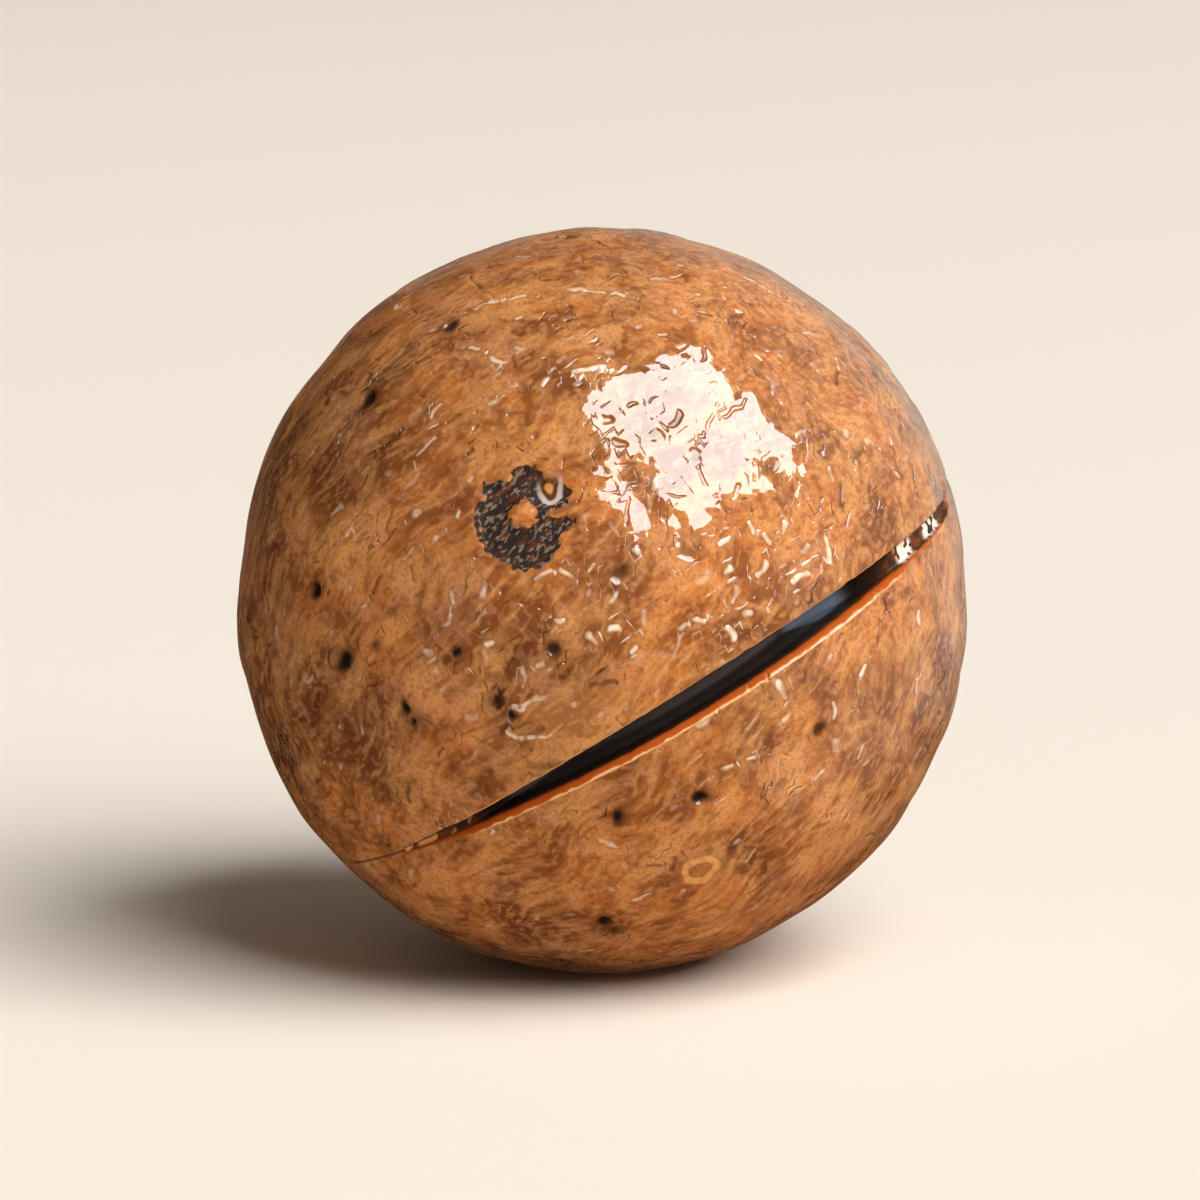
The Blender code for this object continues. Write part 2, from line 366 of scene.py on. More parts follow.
class SlitGrid:
    """Points of the shell in columns that turn round the slit plane's normal and rows that cross the slit."""

    def __init__(self):
        self.normal, self.front, self.left = (np.array(axis) for axis in slit_axes())
        even = np.arange(COLUMNS) / COLUMNS * 2 * pi
        self.turns = even - COLUMN_LEAN * np.sin(even)
        self.outward = np.outer(np.cos(self.turns), self.front) + np.outer(np.sin(self.turns), self.left)
        self.share = ((self.turns - SLIT_MIDDLE + pi) % (2 * pi) - pi) / SLIT_HALF_ANGLE
        beyond = np.abs(self.share)
        bow = np.sqrt(np.clip(1 - beyond**2, 0, 1))
        fall = smooth_step((np.abs(self.share - SLIT_DEEPEST) - SLIT_FULL_SHARE) / SLIT_FALL_SHARE)
        self.depth = SLIT_GROOVE * bow + (SLIT_DEPTH - SLIT_GROOVE) * (1 - fall)
        right_end, left_end = SLIT_END_WIDTHS
        end_width = right_end + (left_end - right_end) * (1 + np.clip(self.share, -1, 1)) / 2
        self.half = (end_width + (SLIT_WIDTH - end_width) * bow**4) / 2
        self.opened = smooth_step(bow / END_BOW)
        self.spread = SLIT_LOWER_LIP + LIP_MARGIN + BACK_BAND * smooth_step((beyond - 1) / BACK_REACH)

    def strays(self, side):
        """How far the lip on one side, -1 above or 1 below, strays along its length."""
        places = [Vector((turn * LIP_WAVES, side * LIP_SHIFT, 0)) for turn in self.turns]
        return LIP_RAGGED * np.array([noise.noise(place) for place in places])

    def upper_side(self):
        """The section's (across, down) from the skin above the slit, round its lip and down its wall."""
        lip = np.minimum(LIP_RADIUS, UPPER_LIP_SHARE * self.depth)
        rows = [(self.half + lip + LIP_MARGIN, 0 * lip)]
        for step in range(LIP_STEPS + 1):
            turn = step * pi / (2 * LIP_STEPS)
            rows.append((self.half + lip - lip * sin(turn), lip * (1 - cos(turn))))
        return rows + self.wall(lip)

    def lower_side(self):
        """The section's (across, down) from the skin below the slit, over its worn lip and down its wall."""
        lip = np.minimum(SLIT_LOWER_LIP, LOWER_LIP_SHARE * self.depth)
        rows = [(self.half + lip + LIP_MARGIN, 0 * lip)]
        for step in range(LIP_STEPS + 1):
            share = step / LIP_STEPS
            rows.append((self.half + lip * (1 - share), lip * (share - LIP_BULGE * sin(pi * share))))
        return rows + self.wall(lip)

    def wall(self, lip):
        """The section's (across, down) from under a lip to the rounded floor."""
        floor = FLOOR_ROUNDING * self.half
        reach = np.maximum(self.depth - lip - floor, 0)
        rows = [(self.half, lip + reach * share) for share in WALL_SHARES]
        for turn in (pi / 4, pi / 2):
            down = np.maximum(self.depth - lip - floor * (1 - sin(turn)), 0)
            rows.append((self.half - floor * (1 - cos(turn)), np.minimum(self.depth, lip + down)))
        return rows

    def profile(self):
        """The whole section as (across, down) for every column, from above the slit to below it."""
        above = self.strays(-1)
        below = self.strays(1)
        section = [(-across + above, down) for across, down in self.upper_side()]
        section.append((0 * self.half, self.depth))
        section += [(across + below, down) for across, down in reversed(self.lower_side())]
        last = len(section) - 1
        rows = []
        for row, (across, down) in enumerate(section):
            flat = (self.half + self.spread) * (2 * row / last - 1)
            rows.append(((1 - self.opened) * flat + self.opened * across, self.opened * down))
        return rows

    def on_skin(self, height):
        """Distance from the axis to the shell at a height along the normal, for every column."""
        across = np.sqrt(FACE_RADIUS**2 - height**2)
        for _ in range(SKIN_ROUNDS):
            directions = unit(height[:, None] * self.normal + across[:, None] * self.outward)
            across = np.sqrt(np.maximum(shell_radius(directions) ** 2 - height**2, 0))
        return across

    def band_rows(self):
        """Rows of points across the slit, with each point's depth and place across in it."""
        points, depths, sides = [], [], []
        for across, down in self.profile():
            height = SLIT_OFFSET + across
            reach = self.on_skin(height) - down
            points.append(height[:, None] * self.normal + reach[:, None] * self.outward)
            depths.append(down)
            sides.append(np.clip(across / self.half, -SIDE_LIMIT, SIDE_LIMIT))
        return points, depths, sides

    def skin_rows(self, pole, edge_points):
        """Rows from a pole, given as -1 or 1, to the band's edge."""
        edge = np.arcsin(unit(edge_points) @ self.normal)
        rows = []
        for row in range(1, SKIN_ROWS + 1):
            latitude = pole * pi / 2 + (edge - pole * pi / 2) * row / (SKIN_ROWS + 1)
            directions = np.sin(latitude)[:, None] * self.normal + np.cos(latitude)[:, None] * self.outward
            rows.append(directions * shell_radius(directions)[:, None])
        return rows

    def build(self):
        """All rows from pole to pole, the poles, and each point's depth and place across in the slit."""
        band, depths, sides = self.band_rows()
        below = self.skin_rows(-1, band[0])
        above = self.skin_rows(1, band[-1])[::-1]
        skin = [np.zeros(COLUMNS)] * SKIN_ROWS
        far = [np.full(COLUMNS, SIDE_LIMIT)] * SKIN_ROWS
        rows = np.array(below + band + above)
        poles = [self.normal * side * shell_radius(self.normal[None] * side)[0] for side in (-1, 1)]
        across = np.concatenate([-np.array(far), np.array(sides), np.array(far)])
        return rows, poles, np.array(skin + depths + skin), across


def grid_faces(count):
    """Quads between the rows, and fans of triangles at the two poles, which follow the rows' points."""
    faces = []
    for row in range(count - 1):
        for column in range(COLUMNS):
            after = (column + 1) % COLUMNS
            first, second = row * COLUMNS, (row + 1) * COLUMNS
            faces.append((first + column, first + after, second + after, second + column))
    low, high, last = count * COLUMNS, count * COLUMNS + 1, (count - 1) * COLUMNS
    for column in range(COLUMNS):
        after = (column + 1) % COLUMNS
        faces.append((low, after, column))
        faces.append((high, last + column, last + after))
    return faces


def along_grain(direction, turn):
    """The grain's direction along the shell at a place, turned by an angle."""
    grain = from_face(*GRAIN).normalized()
    along = (grain - grain.dot(direction) * direction).normalized()
    return along * cos(turn) + direction.cross(along) * sin(turn)


def face_specks():
    """The pale specks of the sawn face as direction, half axis, radius and tone."""
    specks = []
    for right, up, half_length, rise, tone in FACE_SPECKS:
        direction = on_face(right, up)
        axis = from_face(cos(rise), sin(rise), 0)
        axis = (axis - axis.dot(direction) * direction).normalized() * half_length
        specks.append((direction, axis, between(SPECK_RADIUS, tone), tone))
    return specks


def scattered_marks(draw):
    """The specks, and marks along the grain that keep clear of each other, the pits and the scar."""
    sides = [(from_face(*side).normalized(), *rest) for side, *rest in CROWDED_SIDES]
    marks = face_specks()
    taken = [Vector(direction) for direction, *_ in PITS + marks]
    for count, half_lengths, radii, tones, spread in (CREASES, SMUDGES, PALE_FIBRES_AND_GLINTS, DARK_STROKES):
        placed = 0
        while placed < count:
            direction = random_direction(draw)
            crowding = SPARSE_SHARE
            for side, start, width, share in sides:
                crowding += share * float(smooth_step((direction.dot(side) - start) / width))
            if draw.random() > crowding or (direction - SCAR).length * FACE_RADIUS < SCAR_RADIUS:
                continue
            if min((direction - other).length for other in taken) * FACE_RADIUS < MARK_SPACING:
                continue
            taken.append(direction)
            placed += 1
            half_length = between(half_lengths, draw.random() ** LENGTH_POWER)
            axis = along_grain(direction, draw.gauss(0, spread)) * half_length
            tone = between(tones, draw.random() ** TONE_POWER) * between((LONELY_TONE, 1), crowding)
            marks.append((direction, axis, draw.uniform(*radii), tone))
    return marks


def all_marks(middle):
    """Specks, marks and pits in millimetres as place, half axis, radius and tone."""
    draw = Random(SEED)
    marks = scattered_marks(draw)
    for direction, radius, depth in PITS:
        axis = along_grain(direction, draw.uniform(-PIT_TURN, PIT_TURN)) * radius * draw.uniform(*PIT_STRETCH)
        marks.append((direction, axis, radius * PIT_DARK_SHARE, -min(depth / PIT_BLACK_DEPTH, 1)))
    placed = []
    for direction, axis, radius, tone in marks:
        reach = shell_radius(np.array(direction)[None])[0]
        place = np.array(middle) + np.array(direction) * reach
        placed.append((place * MM, np.array(axis) * MM, radius * MM, tone))
    return placed


def nearest_marks(points, marks):
    """The place, half axis, radius and tone of each point's nearest mark, and 1 where that mark is close."""
    best = np.full(len(points), np.inf)
    values = np.zeros((len(points), 9))
    for place, axis, radius, tone in marks:
        offset = points - place
        share = np.clip(offset @ axis / (axis @ axis), -1, 1)
        distance = np.linalg.norm(offset - share[:, None] * axis, axis=1) - radius
        closer = distance < best
        best[closer] = distance[closer]
        values[closer, :8] = (*place, *axis, radius, tone)
    values[:, 8] = best < MARK_REACH * MM
    return values


def add_attribute(mesh, name, values):
    """Stores one number or one vector for every point of the mesh."""
    kind, field = ("FLOAT", "value") if values.ndim == 1 else ("FLOAT_VECTOR", "vector")
    mesh.attributes.new(name, kind, "POINT").data.foreach_set(field, values.ravel())


def make_shell():
    """The nut's surface, set in the box of its node with the flat spot on z = 0, and its middle."""
    grid = SlitGrid()
    rows, poles, depths, across = grid.build()
    points = np.concatenate([rows.reshape(-1, 3), poles])
    directions = unit(points)
    seat = points[:, 2].min() + SEAT_RADIUS**2 / NUT_WIDTH
    points[:, 2] = np.maximum(points[:, 2], seat)
    low, high = (np.array(corner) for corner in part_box("nut"))
    shift = (low + high) / 2 - (points.min(axis=0) + points.max(axis=0)) / 2
    shift[2] = -seat
    points += shift
    mesh = bpy.data.meshes.new("macadamia_shell")
    mesh.from_pydata(points.tolist(), [], grid_faces(len(rows)))
    mesh.shade_smooth()
    marks = nearest_marks(points * MM, all_marks(shift))
    add_attribute(mesh, "kerf", np.append(depths.ravel(), [0, 0]) * MM)
    share = np.append(np.tile(grid.share, len(rows)), [2, 2])
    side = np.append(across.ravel(), [-SIDE_LIMIT, SIDE_LIMIT])
    add_attribute(mesh, "kerf_place", np.stack([share, side, 0 * side], axis=-1))
    add_attribute(mesh, "scar", scar_stain(directions) * MM)
    add_attribute(mesh, "mark_place", marks[:, 0:3])
    add_attribute(mesh, "mark_axis", marks[:, 3:6])
    add_attribute(mesh, "mark_radius", marks[:, 6])
    add_attribute(mesh, "mark_tone", marks[:, 7])
    add_attribute(mesh, "mark_close", marks[:, 8])
    shell = bpy.data.objects.new("macadamia_shell", mesh)
    bpy.context.scene.collection.objects.link(shell)
    return shell, Vector(shift)


class Graph:
    """Adds nodes to a material or a world and links them, so that a pattern reads as one expression."""

    def __init__(self, owner, shader="Principled BSDF"):
        owner.use_nodes = True
        self.owner = owner
        self.nodes = owner.node_tree.nodes
        self.links = owner.node_tree.links
        self.shader = self.nodes[shader]

    def feed(self, socket, thing):
        if isinstance(thing, bpy.types.NodeSocket):
            self.links.new(thing, socket)
        else:
            socket.default_value = thing

    def math(self, operation, first, second=0.0):
        node = self.nodes.new("ShaderNodeMath")
        node.operation = operation
        self.feed(node.inputs[0], first)
        self.feed(node.inputs[1], second)
        return node.outputs[0]

    def vector_math(self, operation, first, second=(0, 0, 0), scale=1.0):
        node = self.nodes.new("ShaderNodeVectorMath")
        node.operation = operation
        self.feed(node.inputs[0], first)
        self.feed(node.inputs[1], second)
        if operation == "SCALE":
            self.feed(node.inputs["Scale"], scale)
        return node.outputs["Value" if operation in ("DISTANCE", "LENGTH", "DOT_PRODUCT") else "Vector"]

    def span(self, value, start, end, low=0.0, high=1.0):
        """Goes smoothly from low to high as value goes from start to end."""
        node = self.nodes.new("ShaderNodeMapRange")
        node.interpolation_type = "SMOOTHSTEP"
        names = ("Value", "From Min", "From Max", "To Min", "To Max")
        for name, thing in zip(names, (value, start, end, low, high)):
            self.feed(node.inputs[name], thing)
        return node.outputs["Result"]

    def mix(self, factor, first, second):
        node = self.nodes.new("ShaderNodeMix")
        node.data_type = "RGBA"
        self.feed(node.inputs[0], factor)
        self.feed(node.inputs[6], first)
        self.feed(node.inputs[7], second)
        return node.outputs[2]

    def tint(self, ground, tint, value, start, end, low=0.0, high=1.0):
        """The ground under a tint whose share goes from low to high as value goes from start to end."""
        return self.mix(self.span(value, start, end, low, high), ground, tint)

    def noise_node(self, place, scale, detail, roughness):
        node = self.nodes.new("ShaderNodeTexNoise")
        self.feed(node.inputs["Vector"], place)
        node.inputs["Scale"].default_value = scale
        node.inputs["Detail"].default_value = detail
        node.inputs["Roughness"].default_value = roughness
        return node.outputs

    def noise(self, place, scale, detail, roughness):
        return self.noise_node(place, scale, detail, roughness)["Fac"]

    def strayed(self, place, scale, reach):
        """The place, moved by noise up to the reach along each axis."""
        outputs = self.noise_node(place, scale, 0, 0.5)
        stray = self.vector_math("SUBTRACT", outputs["Color"], (0.5, 0.5, 0.5))
        return self.vector_math("ADD", place, self.vector_math("SCALE", stray, scale=2 * reach))

    def cells(self, place, scale):
        node = self.nodes.new("ShaderNodeTexVoronoi")
        self.feed(node.inputs["Vector"], place)
        node.inputs["Scale"].default_value = scale
        return node

    def split(self, vector):
        node = self.nodes.new("ShaderNodeSeparateXYZ")
        self.feed(node.inputs[0], vector)
        return node.outputs

    def near(self, value, middle, reach):
        """1 where value is within about reach of middle, 0 further off."""
        away = self.math("ABSOLUTE", self.math("SUBTRACT", value, middle))
        return self.span(away, 0.7 * reach, 1.3 * reach, 1, 0)

    def along_axes(self, place, axes, stretch):
        """Coordinates along three axes, with lengths along the first made shorter by stretch."""
        node = self.nodes.new("ShaderNodeCombineXYZ")
        for socket, axis, share in zip(node.inputs, axes, (stretch, 1, 1)):
            self.feed(socket, self.vector_math("DOT_PRODUCT", place, tuple(axis * share)))
        return node.outputs[0]

    def attribute(self, name, output="Fac"):
        node = self.nodes.new("ShaderNodeAttribute")
        node.attribute_name = name
        return node.outputs[output]

    def object_place(self):
        """The place on the object in millimetres."""
        node = self.nodes.new("ShaderNodeTexCoord")
        return self.vector_math("SCALE", node.outputs["Object"], scale=MM)


def colour(red, green, blue):
    """The linear colour that shaders take for an sRGB colour given from 0 to 255."""
    shares = (channel / 255 for channel in (red, green, blue))
    return (*(s / 12.92 if s <= 0.04045 else ((s + 0.055) / 1.055) ** 2.4 for s in shares), 1)


# Colours of the shell
DEEP_BROWN = colour(126, 72, 35)
WARM_BROWN = colour(191, 115, 56)
TAN = colour(222, 155, 90)
PINK_TAN = colour(212, 147, 102)
RED_BROWN = colour(106, 55, 25)
# Partly pale flecks, partly painted glints
PALE_FIBRE_AND_GLINT = colour(252, 222, 192)
PIT = colour(42, 26, 15)
SCAR_DARK = colour(48, 38, 35)
SCAR_FIBRE = colour(142, 120, 100)
SCAR_RING = colour(204, 190, 178)
# Pale lip of the cut: partly the raw cut edge, partly a painted highlight where the lip catches the light
CUT_PALE = colour(244, 190, 128)
CUT_ORANGE = colour(178, 82, 24)
# Brown and black darken the cut with depth as painted shade in the slit; the black also colours the hairline
# and the left groove's dot
CUT_BROWN = colour(110, 56, 24)
CUT_BLACK = colour(58, 42, 33)
CUT_DEEP = colour(120, 106, 100)
# Painted reflection: a pale blue-grey sheen on the slit's deep floor
CUT_PAINTED_SHEEN = colour(196, 212, 232)
CHIP_PALE = colour(244, 226, 208)

# Patterns of the shell: waves to the millimetre, octaves after the first, and how strong those are
BROAD_NOISE = (0.24, 1, 0.5)
PATCH_NOISE = (0.66, 1, 0.6)
FLECK_NOISE = (1.4, 1, 0.7)
STREAK_NOISE = (3.5, 1, 0.6)
FINE_NOISE = (3.8, 0, 0.5)
GRIT_NOISE = (8.0, 0, 0.5)
WEAVE_NOISE = (6.5, 1, 0.75)
FACET_SCALE = 0.70
LAYERS = 3.0

# Noise that moves a place before a pattern is read there: waves to the millimetre, and its reach
RAGGED_STRAY = (1.9, 0.22)
WANDERING_STRAY = (0.36, 0.9)
UNEVEN_SHARE = 0.75

# Share that is left of lengths along the grain, which draws a pattern out along it
GRAIN_STRETCH = 0.24
PATCH_STRETCH = 0.6
WEAVE_STRETCH = 0.45

# Single features on the sawn face: right and up, or the share along the slit, from -1 at its right end to 1
BAND_CORE = 0.4
RING_PLACE = (0.00328, -0.00884)
RING_RADIUS = 0.00050
RING_BAND = 0.00018
RING_SPOT = (0.8, 2.6)
EYE_PLACE = (-0.00165, 0.00368)
EYE_RADIUS = 0.00046
EYE_BAND = 0.00012
EYE_SPOT = 0.00024
EYE_SPOT_CORE = 0.7
EYE_LIT_SIDE = (0.5, -0.85)
EYE_LIT_SPAN = (-0.4, 0.3)
LONG_FLAKE_ENDS = ((-0.0024, -0.0040), (0.0016, -0.0023))
LONG_FLAKE_RADIUS = 0.00060
LONG_FLAKE_EDGE = 0.00010
LONG_FLAKE_CURL = (0.00004, 0.00010)
# Painted reflection in the slit: its share along the slit, and its reach
PAINTED_SHEEN_SHARE = -0.46
PAINTED_SHEEN_REACH = 0.060
CHIPS = ((-0.675, 0.035), (-0.84, 0.050))
DOT_SHARE = 0.80
DOT_REACH = 0.014
HAIRLINE_START = (0.96, 0.99)
HAIRLINE_FADE = (1.26, 1.36)
HAIRLINE_HALF = 0.45
LEFT_GROOVE = (0.74, 0.80)
RIGHT_GROOVE = (-0.56, -0.62)

# Marks: where a mark is solid and where its halo is, in radii from outside in, the halo's share, and the tones
# over which a dark mark becomes a groove. The halo is painted shadow beside the raised fibres and a brown
# surround round the pits
MARK_SOLID = (1.20, 0.25)
MARK_HALO = (1.9, 0.9)
HALO_SHARE = 0.34
GROOVE_TONES = (0.02, 0.10)

# Colours of the cut shell below its pale lip, its own orange and then brown and black as painted shade deeper
# in the slit: the colour, and the depths in millimetres at which it sets in
CUT_COLOUR_AND_SHADE = (
    (CUT_ORANGE, 0.03, 0.10),
    (CUT_BROWN, 0.30, 0.52),
    (CUT_BLACK, 0.52, 0.90),
)
CUT_EDGE = (0.01, 0.05)
CUT_STRAY = 0.03
# Depths at which the pale deep floor and its painted sheen set in
DEEP_FLOOR_AND_SHEEN_DEPTH = (1.6, 2.4)

# Stain of the scar in millimetres: how far its rim strays, its soft edge, and the dull skin round it
STAIN_STRAY = 0.10
STAIN_EDGE = (0.0, 0.07)
STAIN_DULL = (-0.30, -0.05)

# Gloss: the shell under its clear coat, how dull the cut is, and the coat
ROUGHNESS = (0.50, 0.62)
SPECULAR = 0.04
CUT_DULL = 0.8
COAT_ROUGHNESS = 0.035
COAT_IOR = 1.5

# Relief of the material in millimetres
FACET_TILT = 0.062
FINE_HEIGHT = 0.006
FIBRE_HEIGHT = 0.030
PIT_HEIGHT = -0.040
GROOVE_HEIGHT = -0.028


def grain_axes():
    along = from_face(*GRAIN).normalized()
    across = along.cross(from_face(0, 0, 1)).normalized()
    return along, across, along.cross(across)


def shell_place(middle, place):
    """A place on the sawn face in millimetres, in the shell's own axes."""
    direction = on_face(*place)
    return (middle + direction * shell_radius(np.array(direction)[None])[0]) * MM


def ring_band(graph, place, centre, radius, band):
    """1 along a ring round a place, 0 off it."""
    away = graph.vector_math("DISTANCE", place, tuple(centre))
    off = graph.math("ABSOLUTE", graph.math("SUBTRACT", away, radius * MM))
    return graph.span(off, band * MM * BAND_CORE, band * MM, 1, 0)


def capsule_distance(graph, offset, axis):
    """Distance in millimetres to a straight piece, and the share along it from -1 to 1."""
    along = graph.vector_math("DOT_PRODUCT", offset, axis)
    share = graph.math("DIVIDE", along, graph.vector_math("DOT_PRODUCT", axis, axis))
    share = graph.math("MINIMUM", graph.math("MAXIMUM", share, -1.0), 1.0)
    return graph.vector_math("DISTANCE", offset, graph.vector_math("SCALE", axis, scale=share)), share


class Patterns:
    """The places and patterns that several parts of the shell's material share."""

    def __init__(self, graph):
        self.place = graph.object_place()
        self.ragged = graph.strayed(self.place, *RAGGED_STRAY)
        stray = graph.vector_math("SUBTRACT", self.ragged, self.place)
        stray = graph.vector_math("SCALE", stray, scale=UNEVEN_SHARE)
        self.uneven = graph.vector_math("ADD", self.place, stray)
        self.wandering = graph.strayed(self.place, *WANDERING_STRAY)
        self.grained = graph.along_axes(self.wandering, grain_axes(), GRAIN_STRETCH)
        self.facet = graph.cells(self.ragged, FACET_SCALE)
        self.streak = graph.noise(self.grained, *STREAK_NOISE)
        self.fine = graph.noise(self.place, *FINE_NOISE)
        self.grit = graph.noise(self.place, *GRIT_NOISE)


def mottled_ground(graph, shared):
    """Browns in soft patches, facets, layers, flecks and streaks along the grain."""
    broad = graph.noise(shared.wandering, *BROAD_NOISE)
    layer = graph.math("FRACT", graph.math("MULTIPLY", broad, LAYERS))
    patch = graph.noise(graph.along_axes(shared.ragged, grain_axes(), PATCH_STRETCH), *PATCH_NOISE)
    fleck = graph.noise(shared.grained, *FLECK_NOISE)
    facet = shared.facet.outputs["Color"]
    ground = graph.mix(graph.span(broad, 0.36, 0.60), DEEP_BROWN, WARM_BROWN)
    for pattern, start, end, low, high, tint in (
        (patch, 0.50, 0.62, 0, 0.50, TAN),
        (patch, 0.34, 0.45, 0.50, 0, RED_BROWN),
        (facet, 0.60, 0.85, 0, 0.38, PINK_TAN),
        (facet, 0.10, 0.35, 0.42, 0, DEEP_BROWN),
        (layer, 0.0, 0.12, 0.20, 0, RED_BROWN),
        (fleck, 0.53, 0.66, 0, 0.30, TAN),
        (fleck, 0.34, 0.45, 0.30, 0, RED_BROWN),
        (shared.streak, 0.54, 0.66, 0, 0.42, TAN),
        (shared.streak, 0.34, 0.45, 0.40, 0, RED_BROWN),
        (shared.fine, 0.54, 0.66, 0, 0.26, PINK_TAN),
        (shared.grit, 0.34, 0.48, 0.30, 0, DEEP_BROWN),
    ):
        ground = graph.tint(ground, tint, pattern, start, end, low, high)
    return ground


def with_long_flake(graph, shared, ground, middle):
    """A long tan flake above the slit, with a pale curled rim at its left end."""
    radius = LONG_FLAKE_RADIUS * MM
    ends = [shell_place(middle, end) for end in LONG_FLAKE_ENDS]
    offset = graph.vector_math("SUBTRACT", shared.ragged, tuple((ends[0] + ends[1]) / 2))
    away, along = capsule_distance(graph, offset, tuple((ends[1] - ends[0]) / 2))
    ground = graph.tint(ground, TAN, away, radius - LONG_FLAKE_EDGE * MM, radius, 0.28, 0)
    rim = graph.math("ABSOLUTE", graph.math("SUBTRACT", away, radius))
    curl = graph.span(rim, *(reach * MM for reach in LONG_FLAKE_CURL), 1, 0)
    curl = graph.math("MULTIPLY", curl, graph.span(along, -1.0, -0.3, 0.66, 0.08))
    curl = graph.math("MULTIPLY", curl, graph.span(shared.fine, 0.40, 0.52, 0.35, 1.0))
    return graph.mix(curl, ground, PALE_FIBRE_AND_GLINT)


def with_tan_ring(graph, shared, ground, middle):
    """A tan ring on a darker spot, below the slit."""
    radius = RING_RADIUS * MM
    ring_place = shell_place(middle, RING_PLACE)
    away = graph.vector_math("DISTANCE", shared.ragged, tuple(ring_place))
    ground = graph.tint(ground, DEEP_BROWN, away, *(share * radius for share in RING_SPOT), 0.42, 0)
    ring = ring_band(graph, shared.uneven, ring_place, RING_RADIUS, RING_BAND)
    ring = graph.math("MULTIPLY", ring, graph.span(shared.fine, 0.36, 0.52, 0.65, 1.0))
    return graph.mix(ring, ground, TAN)


def with_marks(graph, shared, ground):
    """The nearest mark's fibre or pit in a darker halo, and the fibre, pit and groove for the relief. The pale
    fibres are partly painted glints; the halo is painted shadow beside the fibres and a brown surround round
    the pits.
    """
    offset = graph.vector_math("SUBTRACT", shared.uneven, graph.attribute("mark_place", "Vector"))
    away, _ = capsule_distance(graph, offset, graph.attribute("mark_axis", "Vector"))
    reach = graph.math("DIVIDE", away, graph.attribute("mark_radius"))
    tone = graph.attribute("mark_tone")
    close = graph.attribute("mark_close")
    solid = graph.math("MULTIPLY", graph.span(reach, *MARK_SOLID, 0, 1), close)
    halo = graph.math("MULTIPLY", graph.span(reach, *MARK_HALO, 0, HALO_SHARE), close)
    pale = graph.math("MAXIMUM", tone, 0.0)
    pale = graph.math("MULTIPLY", pale, graph.span(shared.fine, 0.34, 0.60, 0.62, 1.0))
    dark = graph.math("MAXIMUM", graph.math("MULTIPLY", tone, -1.0), 0.0)
    fibre = graph.math("MULTIPLY", solid, pale)
    pit = graph.math("MULTIPLY", solid, dark)
    groove = graph.math("MULTIPLY", solid, graph.span(dark, *GROOVE_TONES))
    # Halo: painted shadow beside the fibres, a brown surround round the pits
    ground = graph.mix(graph.math("MULTIPLY", halo, graph.math("ABSOLUTE", tone)), ground, RED_BROWN)
    # Pale fibres: partly pale flecks, partly painted glints
    ground = graph.mix(fibre, ground, PALE_FIBRE_AND_GLINT)
    ground = graph.mix(pit, ground, PIT)
    return ground, fibre, pit, groove


def with_scar(graph, shared, ground, inside):
    """The scar's dark woven stain."""
    weave = graph.noise(graph.along_axes(shared.place, grain_axes(), WEAVE_STRETCH), *WEAVE_NOISE)
    stain = graph.tint(SCAR_DARK, SCAR_FIBRE, weave, 0.50, 0.66, 0, 0.85)
    stain = graph.tint(stain, CUT_BROWN, shared.streak, 0.52, 0.66, 0, 0.55)
    return graph.tint(ground, stain, inside, *STAIN_EDGE)


def with_eye(graph, shared, ground, middle):
    """A tan spot at the scar's upper right, on red-brown, in a ring that is pale at its lower right."""
    radius, spot = EYE_RADIUS * MM, EYE_SPOT * MM
    eye_place = shell_place(middle, EYE_PLACE)
    offset = graph.vector_math("SUBTRACT", shared.uneven, tuple(eye_place))
    away = graph.vector_math("LENGTH", offset)
    ground = graph.tint(ground, RED_BROWN, away, radius - EYE_BAND * MM, radius, 0.7, 0)
    ground = graph.tint(ground, TAN, away, EYE_SPOT_CORE * spot, spot, 0.9, 0)
    right, up = EYE_LIT_SIDE
    # The ring is paler on its lit lower right: a painted highlight
    lit = graph.vector_math("DOT_PRODUCT", offset, tuple(SCAR_RIGHT * right + SCAR_UP * up))
    ring = ring_band(graph, shared.uneven, eye_place, EYE_RADIUS, EYE_BAND)
    ring = graph.math("MULTIPLY", ring, graph.span(lit, *EYE_LIT_SPAN, 0.10, 0.80))
    return graph.mix(ring, ground, SCAR_RING)


